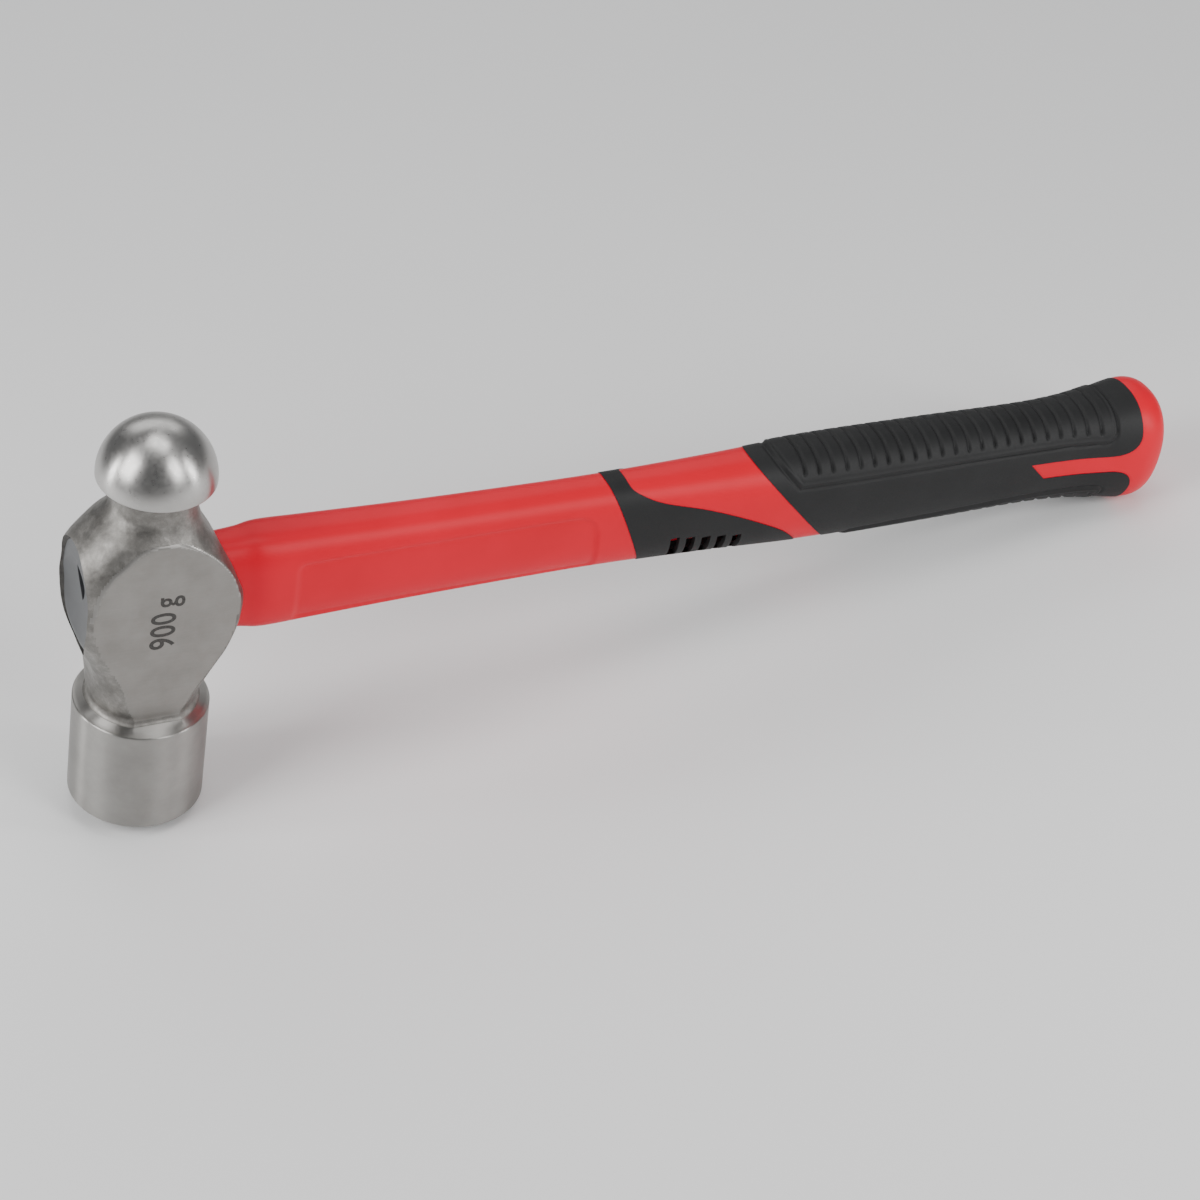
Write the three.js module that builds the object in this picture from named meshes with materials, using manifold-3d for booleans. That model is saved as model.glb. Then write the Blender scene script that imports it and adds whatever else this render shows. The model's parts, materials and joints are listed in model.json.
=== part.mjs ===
// Ball peen hammer with a glass-fibre cored handle, 900 g class.
//
// Everything is first laid out in the hammer's own axes: the head axis is Z with the ball up, the
// handle runs along +X, and the two cross at zero. The whole hammer is then leaned over to the pose
// it takes on a bench, standing on the rim of its striking face and on the heel of its butt.
// Millimetres throughout.
import * as THREE from 'three';
import { mergeVertices } from 'three/addons/utils/BufferGeometryUtils.js';
import Module from 'manifold-3d';

const wasm = await Module();
wasm.setup();

const GAP = 0.3;

// Head
const BALL_RADIUS = 17.2;
const BALL_CENTRE = 41.8;
const BALL_SKIRT = 0.4;
const BALL_EDGE = 1;
const NECK_RADIUS = 12;
const POLL_RADIUS = 20.2;
const POLL_SHOULDER = -39.6;
const SHOULDER_EDGE = 1;
const NECK_FLARE = 16.2;
const POLL_FACE = -74.9;
const FACE_BEVEL = 1.1;
const CHEEK_HALF_WIDTH = 14.5;
const CHEEK_BOTTOM = -36.6;
const SADDLE_DEPTH = 10.8;
const SADDLE_RADIUS = 15.5;
const SADDLE_HEIGHT = 37.3;
const HEAD_SEGMENTS = 40;
const BODY_STEP = 3;

// Middle of the head: height, then reach, half width and squareness of its section on the side away
// from the handle and on the side towards it. The flat cheeks are cut from this afterwards.
const BODY = [
  [-37.3, 15.7, 15.7, 2, 15.7, 15.7, 2],
  [-33.1, 16.6, 16.6, 2.1, 16.6, 16.6, 2.1],
  [-29, 16.8, 16.5, 2.4, 17.6, 17, 2.3],
  [-24.8, 17.3, 16.5, 2.6, 19.3, 18, 2.4],
  [-19.7, 18.8, 17, 2.8, 21.3, 19.5, 2.5],
  [-14.5, 21.1, 17.8, 2.8, 23.6, 20.1, 2.7],
  [-9.3, 23.7, 18, 2.9, 25.3, 20.3, 2.8],
  [-3.1, 26.3, 17.9, 2.9, 26.4, 20.5, 2.8],
  [2.1, 27.4, 17.8, 2.9, 26, 21.1, 3],
  [7.2, 27.3, 17.2, 2.9, 23.7, 21.7, 3.4],
  [12.4, 26.5, 16.7, 2.9, 21.3, 21.7, 3.6],
  [17.6, 24.4, 16.2, 2.8, 18.6, 19.7, 3.2],
  [21.7, 21.8, 15.4, 2.6, 16.4, 17.2, 2.8],
  [25.9, 18.4, 14.7, 2.3, 14.1, 14.7, 2.3],
  [29, 15.5, 13, 2.1, 12.9, 13, 2.1],
  [32.1, 13, 12.2, 2, 12.2, 12.2, 2],
  [35.2, 12, 12, 2, 12, 12, 2],
];

// Eye, the tapered oval hole for the handle: wider on the side away from the handle
const EYE_NARROW = { x: 31, half: 9.7, height: 16.7 };
const EYE_WIDE = { x: -31, half: 10.3, height: 17.8 };
const EYE_POWER = 2.4;
// Flared mouth on that side, egg shaped with its blunt end up
const MOUTH_DEPTH = { x: -17.6, half: 9.5, top: 13.6, bottom: 20.3 };
const MOUTH_RIM = { x: -28, half: 18, top: 22, bottom: 26 };
const MOUTH_CENTRE = 3;
const MOUTH_POWER = 2.2;

// Resin plug and its pour slot
const RESIN_FACE = -21.6;
const RESIN_INSET = 1;
const RESIN_BACK = 12.4;
const RESIN_DISH_RADIUS = 44;
const RESIN_DISH_DEPTH = 2.1;
const SLOT_LENGTH = 13.5;
const SLOT_WIDTH = 5.2;
const SLOT_HEIGHT = 6.8;

// Handle
const CORE_HALF_THICK = 5.2;
const CORE_HALF_TALL = 8.3;
const CORE_POWER = 2.6;
const CORE_START = -13.5;
const CORE_END = 306.4;
const JACKET_START = RESIN_BACK + GAP;
const BUTT_END = 344.3;
const RUBBER_DEPTH = 1.8;
const RUBBER_PROUD = 0.2;
const PAD_HEIGHT = 0.6;
const HANDLE_SEGMENTS = 32;

// Outer surface of the handle: place along it, half height, half thickness, squareness
const HANDLE = [
  [JACKET_START, 15.5, 9, 2.4],
  [20.7, 15.7, 9.1, 2.6],
  [26.9, 16, 9.3, 2.8],
  [31, 16.6, 10.1, 2.8],
  [35.2, 16.7, 10.3, 2.8],
  [46.6, 16.4, 10.1, 2.8],
  [77.6, 15.5, 9.6, 2.8],
  [109.7, 15.1, 9.4, 2.7],
  [142.8, 15, 9.5, 2.6],
  [178, 15.5, 10.9, 2.5],
  [214.2, 16.8, 12.5, 2.4],
  [258.8, 16.7, 12.5, 2.4],
  [295, 16.2, 12.3, 2.4],
  [310.5, 16.8, 12.8, 2.4],
  [320.8, 18, 14, 2.4],
  [331.2, 19.8, 15.7, 2.4],
  [336.4, 20.3, 16.2, 2.4],
  [340.5, 19.4, 15.4, 2.4],
  [342.9, 17.6, 13.9, 2.3],
  [344.1, 15.1, 11.8, 2.2],
  [BUTT_END, 11.4, 8.7, 2.1],
];
const SHAFT_STEP = 12;

// Side panel pressed into each flank of the shaft
const PANEL_START = 41.4;
const PANEL_END = 138.7;
const PANEL_TOP = 8.8;
const PANEL_DEPTH = 0.8;

// Soft front collar, as seen from the side: its rear edge sweeps down and back
const COLLAR_FRONT_TOP = { x: 142.2, z: 17.6 };
const COLLAR_FRONT_BOTTOM = { x: 157.6, z: -17.6 };
const COLLAR_REAR = [
  [149.4, 17.6],
  [150, 14.5],
  [153.2, 12.4],
  [160.9, 9.4],
  [175.9, 5.2],
  [191.5, -0.8],
  [203.9, -7.2],
  [211.1, -14.5],
  [212.2, -17.6],
];
const VENT_COUNT = 5;
const VENT_PITCH = 5.4;
const VENT_FIRST = { x: 166.3, z: -8.5 };
const VENT_WIDTH = 3;
const VENT_LENGTH = 9.3;
const VENT_LEAN = -0.12;
const VENT_DROP = 0.5;

// Soft main grip: a slanting front edge, and the red stripe that runs into its rear
const GRIP_FRONT_TOP = { x: 187.3, z: 21.7 };
const GRIP_FRONT_BOTTOM = { x: 227.7, z: -21.7 };
const GRIP_REAR = 332.9;
const STRIPE_TOP = 3.9;
const STRIPE_BOTTOM = -2.3;
const STRIPE_TIP = 292.9;
const STRIPE_TIP_SLANT = 6.2;
const STRIPE_FILLET = 8.3;
const PAD_FRONT = 200.8;
const PAD_REAR = 324;
const PAD_EDGE = 8.5;

const steel = new THREE.MeshStandardMaterial({ color: 0x9a9792, roughness: 0.38, metalness: 1 });
const redPlastic = new THREE.MeshStandardMaterial({ color: 0xd8232a, roughness: 0.4, metalness: 0 });
const blackRubber = new THREE.MeshStandardMaterial({ color: 0x3a3a3b, roughness: 0.6, metalness: 0 });
const greyResin = new THREE.MeshStandardMaterial({ color: 0x7b7d7d, roughness: 0.5, metalness: 0 });
const glassFibre = new THREE.MeshStandardMaterial({ color: 0x2a2627, roughness: 0.6, metalness: 0 });

// A closed mesh as a solid that can be joined and cut
function toSolid(geometry) {
  const bare = geometry.index ? geometry.toNonIndexed() : geometry.clone();
  bare.deleteAttribute('normal');
  bare.deleteAttribute('uv');
  const merged = mergeVertices(bare, 1e-4);
  return new wasm.Manifold(new wasm.Mesh({
    numProp: 3,
    vertProperties: merged.attributes.position.array,
    triVerts: Uint32Array.from(merged.index.array),
  }));
}

function toGeometry(solid) {
  const { vertProperties, triVerts } = solid.getMesh();
  const geometry = new THREE.BufferGeometry();
  geometry.setAttribute('position', new THREE.BufferAttribute(vertProperties, 3));
  geometry.setIndex(new THREE.BufferAttribute(triVerts, 1));
  geometry.computeVertexNormals();
  return geometry;
}

// Skin over rings of equal length, closed by a fan at each end
function loft(rings) {
  const count = rings[0].length;
  const points = rings.flat();
  const index = [];
  for (let i = 0; i < rings.length - 1; i += 1) {
    for (let j = 0; j < count; j += 1) {
      const here = i * count + j;
      const next = i * count + (j + 1) % count;
      index.push(here, next, here + count);
      index.push(here + count, next, next + count);
    }
  }
  const last = (rings.length - 1) * count;
  const first = points.push(centreOf(rings[0])) - 1;
  const end = points.push(centreOf(rings[rings.length - 1])) - 1;
  for (let j = 0; j < count; j += 1) {
    const next = (j + 1) % count;
    index.push(first, next, j);
    index.push(end, last + j, last + next);
  }
  const geometry = new THREE.BufferGeometry().setFromPoints(points);
  geometry.setIndex(index);
  return geometry;
}

function centreOf(ring) {
  const sum = ring.reduce((total, point) => total.add(point), new THREE.Vector3());
  return sum.divideScalar(ring.length);
}

// A row of a station table at any place, on a smooth curve through the rows
function stationAt(table, place) {
  const last = table.length - 1;
  let row = 0;
  while (row < last - 1 && place > table[row + 1][0]) row += 1;
  const from = table[row];
  const to = table[row + 1];
  const before = table[Math.max(row - 1, 0)];
  const after = table[Math.min(row + 2, last)];
  const span = to[0] - from[0];
  const t = THREE.MathUtils.clamp((place - from[0]) / span, 0, 1);
  return from.map((value, k) => {
    const rise = (to[k] - before[k]) / (to[0] - before[0]) * span;
    const fall = (after[k] - value) / (after[0] - from[0]) * span;
    return hermite(value, to[k], rise, fall, t);
  });
}

function hermite(start, end, slopeStart, slopeEnd, t) {
  const t2 = t * t;
  const t3 = t2 * t;
  const value = start * (2 * t3 - 3 * t2 + 1) + end * (3 * t2 - 2 * t3);
  return value + slopeStart * (t3 - 2 * t2 + t) + slopeEnd * (t3 - t2);
}

// One point of a rounded oval: power 2 is an ellipse, more is squarer
function ovalPoint(angle, halfX, halfY, power) {
  const c = Math.cos(angle);
  const s = Math.sin(angle);
  const reach = (Math.abs(c) ** power + Math.abs(s) ** power) ** (-1 / power);
  return new THREE.Vector2(halfX * c * reach, halfY * s * reach);
}

function ringAcrossX(x, halfThick, halfTall, power, count = HANDLE_SEGMENTS) {
  return Array.from({ length: count }, (_, k) => {
    const p = ovalPoint(2 * Math.PI * k / count, halfThick, halfTall, power);
    return new THREE.Vector3(x, p.x, p.y);
  });
}

// A flat outline in X and Z, carried right through the hammer from side to side
function sidePrism(shape, halfWidth = 40) {
  const geometry = new THREE.ExtrudeGeometry(shape, {
    depth: 2 * halfWidth, bevelEnabled: false, curveSegments: 8,
  });
  geometry.rotateX(Math.PI / 2);
  geometry.translate(0, halfWidth, 0);
  return toSolid(geometry);
}

function box(x0, x1, y0, y1, z0, z1) {
  const geometry = new THREE.BoxGeometry(x1 - x0, y1 - y0, z1 - z0);
  geometry.translate((x0 + x1) / 2, (y0 + y1) / 2, (z0 + z1) / 2);
  return toSolid(geometry);
}

// Profile of radius and height turned about the head axis
function turned(profile) {
  const geometry = new THREE.LatheGeometry(profile, HEAD_SEGMENTS);
  geometry.rotateX(Math.PI / 2);
  return toSolid(geometry);
}

// LatheGeometry turns about Y; turned() then stands that axis up along Z
function arc(radiusCentre, heightCentre, radius, from, to, steps) {
  return Array.from({ length: steps + 1 }, (_, k) => {
    const angle = from + (to - from) * k / steps;
    return new THREE.Vector2(
      radiusCentre + radius * Math.cos(angle),
      heightCentre + radius * Math.sin(angle),
    );
  });
}

function ballEnd() {
  const skirt = BALL_CENTRE - BALL_SKIRT;
  const quarter = Math.PI / 2;
  const profile = [
    new THREE.Vector2(0, 27),
    new THREE.Vector2(NECK_RADIUS - 0.6, 27),
    new THREE.Vector2(NECK_RADIUS, 36),
    new THREE.Vector2(NECK_RADIUS + 1, skirt - BALL_EDGE),
    ...arc(BALL_RADIUS - BALL_EDGE, skirt, BALL_EDGE, -quarter, 0, 3),
    ...arc(0, BALL_CENTRE, BALL_RADIUS, 0, quarter, 10).slice(0, -1),
    new THREE.Vector2(0, BALL_CENTRE + BALL_RADIUS),
  ];
  return turned(profile);
}

function bodyBlock() {
  const top = BODY[BODY.length - 1][0];
  const rings = [];
  for (let z = BODY[0][0]; z < top; z += BODY_STEP) {
    rings.push(bodyRing(z));
  }
  rings.push(bodyRing(top));
  return toSolid(loft(rings));
}

function bodyRing(z) {
  const row = stationAt(BODY, z);
  const away = row.slice(1, 4);
  const toward = row.slice(4, 7);
  return Array.from({ length: HEAD_SEGMENTS }, (_, k) => {
    const angle = 2 * Math.PI * (k + 0.5) / HEAD_SEGMENTS;
    const p = ovalPoint(angle, ...(Math.cos(angle) > 0 ? toward : away));
    return new THREE.Vector3(p.x, p.y, z);
  });
}

function pollEnd() {
  const quarter = Math.PI / 2;
  const profile = [
    new THREE.Vector2(0, POLL_FACE),
    new THREE.Vector2(POLL_RADIUS - FACE_BEVEL, POLL_FACE),
    ...arc(POLL_RADIUS - FACE_BEVEL, POLL_FACE + FACE_BEVEL, FACE_BEVEL, -quarter, 0, 3).slice(1),
    ...arc(POLL_RADIUS - SHOULDER_EDGE, POLL_SHOULDER - SHOULDER_EDGE, SHOULDER_EDGE, 0, quarter, 3),
    new THREE.Vector2(POLL_RADIUS - 2.6, POLL_SHOULDER + 0.9),
    new THREE.Vector2(NECK_FLARE + 0.4, POLL_SHOULDER + 2.6),
    new THREE.Vector2(NECK_FLARE, POLL_SHOULDER + 5),
    new THREE.Vector2(0, POLL_SHOULDER + 8),
  ];
  return turned(profile);
}

// Concave scoops, front and back, between the ball and the flat cheeks
function saddleCutter(side) {
  const geometry = new THREE.CylinderGeometry(SADDLE_RADIUS, SADDLE_RADIUS, 80, 48);
  geometry.rotateZ(Math.PI / 2);
  geometry.translate(0, side * (SADDLE_DEPTH + SADDLE_RADIUS), SADDLE_HEIGHT);
  const above = box(-40, 40, side > 0 ? 0 : -60, side > 0 ? 60 : 0, 20, BALL_CENTRE - 4);
  return toSolid(geometry).intersect(above);
}

function eyeSolid(shrink = 0) {
  const rings = [EYE_WIDE, EYE_NARROW].map(({ x, half, height }) => (
    ringAcrossX(x, half - shrink, height - shrink, EYE_POWER)
  ));
  return toSolid(loft(rings)).add(mouthSolid(shrink));
}

// Below its widest place the mouth narrows faster than it does above, which makes the egg
function mouthSolid(shrink) {
  const rings = [MOUTH_RIM, MOUTH_DEPTH].map(({ x, half, top, bottom }) => (
    Array.from({ length: HANDLE_SEGMENTS }, (_, k) => {
      const angle = 2 * Math.PI * k / HANDLE_SEGMENTS;
      const s = Math.sin(angle);
      const width = (half - shrink) * (s < 0 ? 1 - 0.28 * s * s : 1);
      const p = ovalPoint(angle, width, (s > 0 ? top : bottom) - shrink, MOUTH_POWER);
      return new THREE.Vector3(x, p.x, MOUTH_CENTRE + p.y);
    })
  ));
  return toSolid(loft(rings));
}

function headSolid() {
  let head = bodyBlock().add(pollEnd());
  for (const side of [-1, 1]) {
    const outer = side * 60;
    const inner = side * CHEEK_HALF_WIDTH;
    const [y0, y1] = [Math.min(outer, inner), Math.max(outer, inner)];
    head = head.subtract(box(-60, 60, y0, y1, CHEEK_BOTTOM, 60));
    head = head.subtract(saddleCutter(side));
  }
  return head.add(ballEnd()).subtract(eyeSolid());
}

// Lens-shaped pour slot, standing upright in the resin face and reaching back to the core's end
function slotCutter() {
  const half = SLOT_LENGTH / 2;
  const shape = new THREE.Shape();
  shape.moveTo(0, -half);
  shape.quadraticCurveTo(SLOT_WIDTH, 0, 0, half);
  shape.quadraticCurveTo(-SLOT_WIDTH, 0, 0, -half);
  const mouth = RESIN_FACE - 5;
  const geometry = new THREE.ExtrudeGeometry(shape, {
    depth: CORE_START - mouth, bevelEnabled: false, curveSegments: 8,
  });
  geometry.rotateX(Math.PI / 2);
  geometry.rotateZ(Math.PI / 2);
  geometry.translate(mouth, 0, SLOT_HEIGHT);
  return toSolid(geometry);
}

// The plug stops a little inside the head's own surface wherever that surface curves away
function resinSolid() {
  const inside = bodyBlock().translate([RESIN_INSET, 0, 0]);
  const plug = eyeSolid(GAP).intersect(box(RESIN_FACE, RESIN_BACK, -30, 30, -30, 30)).intersect(inside);
  const ball = new THREE.SphereGeometry(RESIN_DISH_RADIUS, 48, 32);
  ball.translate(RESIN_FACE + RESIN_DISH_DEPTH - RESIN_DISH_RADIUS, 0, 0);
  return plug.subtract(toSolid(ball)).subtract(slotCutter()).subtract(coreSolid(GAP));
}

function coreSolid(grow = 0) {
  const rings = [CORE_START - grow, CORE_END + grow].map((x) => (
    ringAcrossX(x, CORE_HALF_THICK + grow, CORE_HALF_TALL + grow, CORE_POWER, 32)
  ));
  return toSolid(loft(rings));
}

// The handle's outer surface, grown or shrunk evenly
function handleSkin(grow = 0) {
  const places = [];
  for (let i = 0; i < HANDLE.length - 1; i += 1) {
    const [from, to] = [HANDLE[i][0], HANDLE[i + 1][0]];
    const steps = Math.max(1, Math.round((to - from) / SHAFT_STEP));
    for (let k = 0; k < steps; k += 1) {
      places.push(from + (to - from) * k / steps);
    }
  }
  places.push(BUTT_END);
  const rings = places.map((x) => {
    const [, tall, thick, power] = stationAt(HANDLE, x);
    return ringAcrossX(x, thick + grow, tall + grow, power);
  });
  return toSolid(loft(rings));
}

function collarShape(margin) {
  const shape = new THREE.Shape();
  shape.moveTo(COLLAR_FRONT_TOP.x - margin, COLLAR_FRONT_TOP.z);
  shape.lineTo(COLLAR_FRONT_BOTTOM.x - margin, COLLAR_FRONT_BOTTOM.z);
  const rear = COLLAR_REAR.map(([x, z]) => new THREE.Vector2(x + margin, z + margin)).reverse();
  shape.lineTo(rear[0].x, rear[0].y);
  shape.splineThru(rear.slice(1));
  return shape;
}

function gripShape(margin) {
  const top = GRIP_FRONT_TOP.z;
  const bottom = GRIP_FRONT_BOTTOM.z;
  const rear = GRIP_REAR + margin;
  const upper = STRIPE_TOP - margin;
  const lower = STRIPE_BOTTOM + margin;
  const tip = STRIPE_TIP + margin;
  const shape = new THREE.Shape();
  shape.moveTo(GRIP_FRONT_TOP.x - margin, top);
  shape.lineTo(GRIP_FRONT_BOTTOM.x - margin, bottom);
  shape.lineTo(rear, bottom);
  shape.lineTo(rear, lower - STRIPE_FILLET);
  shape.quadraticCurveTo(rear, lower, rear - STRIPE_FILLET, lower);
  shape.lineTo(tip + STRIPE_TIP_SLANT, lower);
  shape.lineTo(tip, upper);
  shape.lineTo(rear - 1.4 * STRIPE_FILLET, upper);
  shape.quadraticCurveTo(rear, upper, rear, upper + STRIPE_FILLET);
  shape.lineTo(rear, top);
  return shape;
}

// Raised finger pads: one over the grip's back, one under its belly
function padShape(side) {
  const shape = new THREE.Shape();
  const edge = side > 0 ? PAD_EDGE : -PAD_EDGE - 2;
  const front = side > 0 ? PAD_FRONT : PAD_FRONT + 24;
  shape.moveTo(front, side * 24);
  shape.lineTo(front + 6, edge);
  shape.lineTo(PAD_REAR - 4, edge);
  shape.quadraticCurveTo(PAD_REAR, edge, PAD_REAR, edge + side * 4);
  shape.lineTo(PAD_REAR, side * 24);
  return shape;
}

function ventCutter(index, side) {
  const geometry = new THREE.BoxGeometry(VENT_WIDTH, 12, VENT_LENGTH);
  geometry.rotateY(VENT_LEAN);
  geometry.translate(VENT_FIRST.x + index * VENT_PITCH, side * 12, VENT_FIRST.z - VENT_DROP * index);
  return toSolid(geometry);
}

function collarSolid() {
  const shell = handleSkin(RUBBER_PROUD).subtract(handleSkin(GAP - RUBBER_DEPTH));
  let collar = shell.intersect(sidePrism(collarShape(-GAP)));
  for (const side of [-1, 1]) {
    for (let k = 0; k < VENT_COUNT; k += 1) {
      collar = collar.subtract(ventCutter(k, side));
    }
  }
  return collar;
}

function gripSolid() {
  const outline = sidePrism(gripShape(-GAP));
  const pads = sidePrism(padShape(1)).add(sidePrism(padShape(-1)));
  const raised = handleSkin(PAD_HEIGHT).intersect(pads);
  const outer = handleSkin(RUBBER_PROUD).add(raised);
  return outer.subtract(handleSkin(GAP - RUBBER_DEPTH)).intersect(outline);
}

// Shallow panel pressed into each flank, its rear end rounded
function panelCutter(side) {
  const shape = new THREE.Shape();
  shape.moveTo(PANEL_START, PANEL_TOP);
  shape.lineTo(PANEL_END - 6, PANEL_TOP);
  shape.quadraticCurveTo(PANEL_END, PANEL_TOP, PANEL_END + 1, 0);
  shape.lineTo(PANEL_END + 3, -12);
  shape.lineTo(PANEL_START, -13);
  const shell = handleSkin(1).subtract(handleSkin(-PANEL_DEPTH));
  const [y0, y1] = side > 0 ? [0, 30] : [-30, 0];
  return shell.intersect(sidePrism(shape)).intersect(box(0, 200, y0, y1, -30, 30));
}

function jacketSolid() {
  const groove = handleSkin(2).subtract(handleSkin(-RUBBER_DEPTH));
  const recesses = sidePrism(collarShape(0)).add(sidePrism(gripShape(0)));
  const jacket = handleSkin().subtract(groove.intersect(recesses)).subtract(coreSolid(GAP));
  return jacket.subtract(panelCutter(1)).subtract(panelCutter(-1));
}

function piece(name, solid, material) {
  const mesh = new THREE.Mesh(toGeometry(solid), material);
  mesh.name = name;
  return mesh;
}

const hammer = new THREE.Group();
hammer.add(
  piece('hammer_head', headSolid(), steel),
  piece('eye_resin', resinSolid(), greyResin),
  piece('glass_fibre_core', coreSolid(), glassFibre),
  piece('handle_jacket', jacketSolid(), redPlastic),
  piece('front_collar', collarSolid(), blackRubber),
  piece('main_grip', gripSolid(), blackRubber),
);

// The lean at which the face rim and the butt touch the same level surface
function benchLean() {
  const lowest = (name, lean) => {
    const places = hammer.getObjectByName(name).geometry.attributes.position;
    let low = Infinity;
    for (let k = 0; k < places.count; k += 1) {
      low = Math.min(low, places.getZ(k) * Math.cos(lean) - places.getX(k) * Math.sin(lean));
    }
    return low;
  };
  let [level, steep] = [0, Math.PI / 8];
  for (let k = 0; k < 40; k += 1) {
    const lean = (level + steep) / 2;
    if (lowest('hammer_head', lean) < lowest('handle_jacket', lean)) level = lean;
    else steep = lean;
  }
  return level;
}

hammer.rotation.y = benchLean();
hammer.updateMatrixWorld(true);
const bounds = new THREE.Box3().setFromObject(hammer, true);
const middle = bounds.getCenter(new THREE.Vector3());
hammer.position.set(-middle.x, -middle.y, -bounds.min.z);

const assembly = new THREE.Group();
assembly.add(hammer);

export default assembly;
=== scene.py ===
"""Looks for a ball peen hammer with a fibreglass-cored handle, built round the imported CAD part.

Shapes are laid out in the hammer's own axes in millimetres: the head axis is Z with the ball up, the
handle runs along +X, and the two cross at zero. The striking_face mount says where that is.
"""
import json
import math

import bmesh
import bpy
import numpy as np
from mathutils import Matrix, Vector, noise


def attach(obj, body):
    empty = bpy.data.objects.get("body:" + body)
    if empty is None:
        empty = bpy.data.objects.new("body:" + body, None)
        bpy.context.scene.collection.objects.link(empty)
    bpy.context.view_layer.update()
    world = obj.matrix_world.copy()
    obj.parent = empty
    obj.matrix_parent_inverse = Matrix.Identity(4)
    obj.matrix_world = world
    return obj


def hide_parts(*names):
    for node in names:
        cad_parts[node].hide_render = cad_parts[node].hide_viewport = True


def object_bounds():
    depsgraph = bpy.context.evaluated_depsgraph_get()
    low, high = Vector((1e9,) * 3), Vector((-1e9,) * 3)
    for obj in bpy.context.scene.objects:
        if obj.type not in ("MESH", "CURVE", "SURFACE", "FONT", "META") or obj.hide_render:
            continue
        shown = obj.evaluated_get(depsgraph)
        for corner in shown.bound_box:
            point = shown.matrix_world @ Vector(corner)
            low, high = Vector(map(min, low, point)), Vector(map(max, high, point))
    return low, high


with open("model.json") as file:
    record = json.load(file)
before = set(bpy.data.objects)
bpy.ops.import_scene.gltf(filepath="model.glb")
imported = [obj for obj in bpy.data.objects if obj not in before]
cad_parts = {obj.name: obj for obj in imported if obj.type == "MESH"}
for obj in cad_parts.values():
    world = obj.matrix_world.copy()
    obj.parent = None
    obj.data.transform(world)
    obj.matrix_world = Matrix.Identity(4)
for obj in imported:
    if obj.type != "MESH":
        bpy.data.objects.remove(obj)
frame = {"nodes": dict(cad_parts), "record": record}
cad_low, cad_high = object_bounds()

MM = 0.001

# Head, in millimetres
BALL_RADIUS = 17.2
BALL_CENTRE = 41.8
BALL_SKIRT = 0.4
BALL_EDGE = 0.7
NECK_RADIUS = 12.0
POLL_RADIUS = 20.2
POLL_SHOULDER = -39.4
POLL_FACE = -74.9
SHOULDER_EDGE = 0.6
FACE_BEVEL = 1.1
CHEEK = 14.5
CHEEK_END = -36.0
SADDLE_DEPTH = 10.8
SADDLE_RADIUS = 15.5
SADDLE_HEIGHT = 37.3
UNDERCUT_RADIUS = 14.2
UNDERCUT_FILLET = 1.4
NECK_START = 24
NECK_FLARE = 0.9
NECK_WAIST = 0.6
FOOT_RADIUS = 16.1
FOOT_FILLET = 2.6
BODY_LOWEST = -38.5
BODY_STEP = 0.5
HEAD_COLUMNS = 300

# How widely one surface of the body runs into the next
CHEEK_BLEND = 0.5
SADDLE_BLEND = 0.8
NECK_BLEND = 0.7

# Further out than any part of the head
NO_LIMIT = 60.0

# Unevenness of the forging: its height, the scale of its coarse and fine lumps, and where it is
RELIEF_HEIGHT = 0.16
RELIEF_COARSE = 0.14
RELIEF_FINE = 0.5
RELIEF_FINE_SHARE = 0.4
RELIEF_RANGE = (-35, 38)
RELIEF_FADE = 6

# Finishes of the head, in the order of its materials, and where each one is. The last is painted
# shade: a dark colour on the eye's inner walls in place of their shadow.
POLISHED, FORGED, GROUND, TURNED, PAINTED_EYE_SHADE = range(5)
EYE_SHADE_ZONE = (28, 17, 27)
EYE_SHADE_MOST_FLAT = 0.999
POLISHED_ABOVE = 39.4
TURNED_BELOW = POLL_SHOULDER + 1.5
GROUND_BAND = 0.22
GROUND_FLATNESS = 0.97
# A strip along the cheeks' upper edges gets the lighter turned steel as a painted highlight
HIGHLIGHT_BAND = 0.6
HIGHLIGHT_FLATNESS = 0.75
HIGHLIGHT_HEIGHTS = (3, 27)

# Height, then reach, half width and squareness away from the handle and towards it
BODY = np.array([
    [-37.3, 15.7, 15.7, 2.0, 15.7, 15.7, 2.0],
    [-33.1, 16.6, 16.6, 2.1, 16.6, 16.6, 2.1],
    [-29.0, 16.8, 16.5, 2.4, 17.6, 17.0, 2.3],
    [-24.8, 17.3, 16.5, 2.6, 19.3, 18.0, 2.4],
    [-19.7, 18.8, 17.0, 2.8, 21.3, 19.5, 2.5],
    [-14.5, 21.1, 17.8, 2.8, 23.6, 20.1, 2.7],
    [-9.3, 23.7, 18.0, 2.9, 25.3, 20.3, 2.8],
    [-3.1, 26.3, 17.9, 2.9, 26.4, 20.5, 2.8],
    [2.1, 27.4, 17.8, 2.9, 26.0, 21.1, 3.0],
    [7.2, 27.3, 17.2, 2.9, 23.7, 21.7, 3.4],
    [12.4, 26.5, 16.7, 2.9, 21.3, 21.7, 3.6],
    [17.6, 24.4, 16.2, 2.8, 18.6, 19.7, 3.2],
    [21.7, 21.8, 15.4, 2.6, 16.4, 17.2, 2.8],
    [25.9, 18.4, 14.7, 2.3, 14.1, 14.7, 2.3],
    [29.0, 15.5, 13.0, 2.1, 12.9, 13.0, 2.1],
    [32.1, 13.0, 12.2, 2.0, 12.2, 12.2, 2.0],
    [35.2, 12.0, 12.0, 2.0, 12.0, 12.0, 2.0],
])

# Eye and the flared, egg-shaped mouth of it
EYE_NARROW = (31, 9.7, 16.7)
EYE_WIDE = (-31, 10.3, 17.8)
EYE_POWER = 2.4
MOUTH_DEPTH = (-17.6, 9.5, 13.6, 20.3)
MOUTH_RIM = (-28, 18.0, 22.0, 26.0)
MOUTH_CENTRE = 3
MOUTH_POWER = 2.2
MOUTH_NARROWING = 0.28
EYE_COLUMNS = 128
MOUTH_COLUMNS = 160

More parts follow.
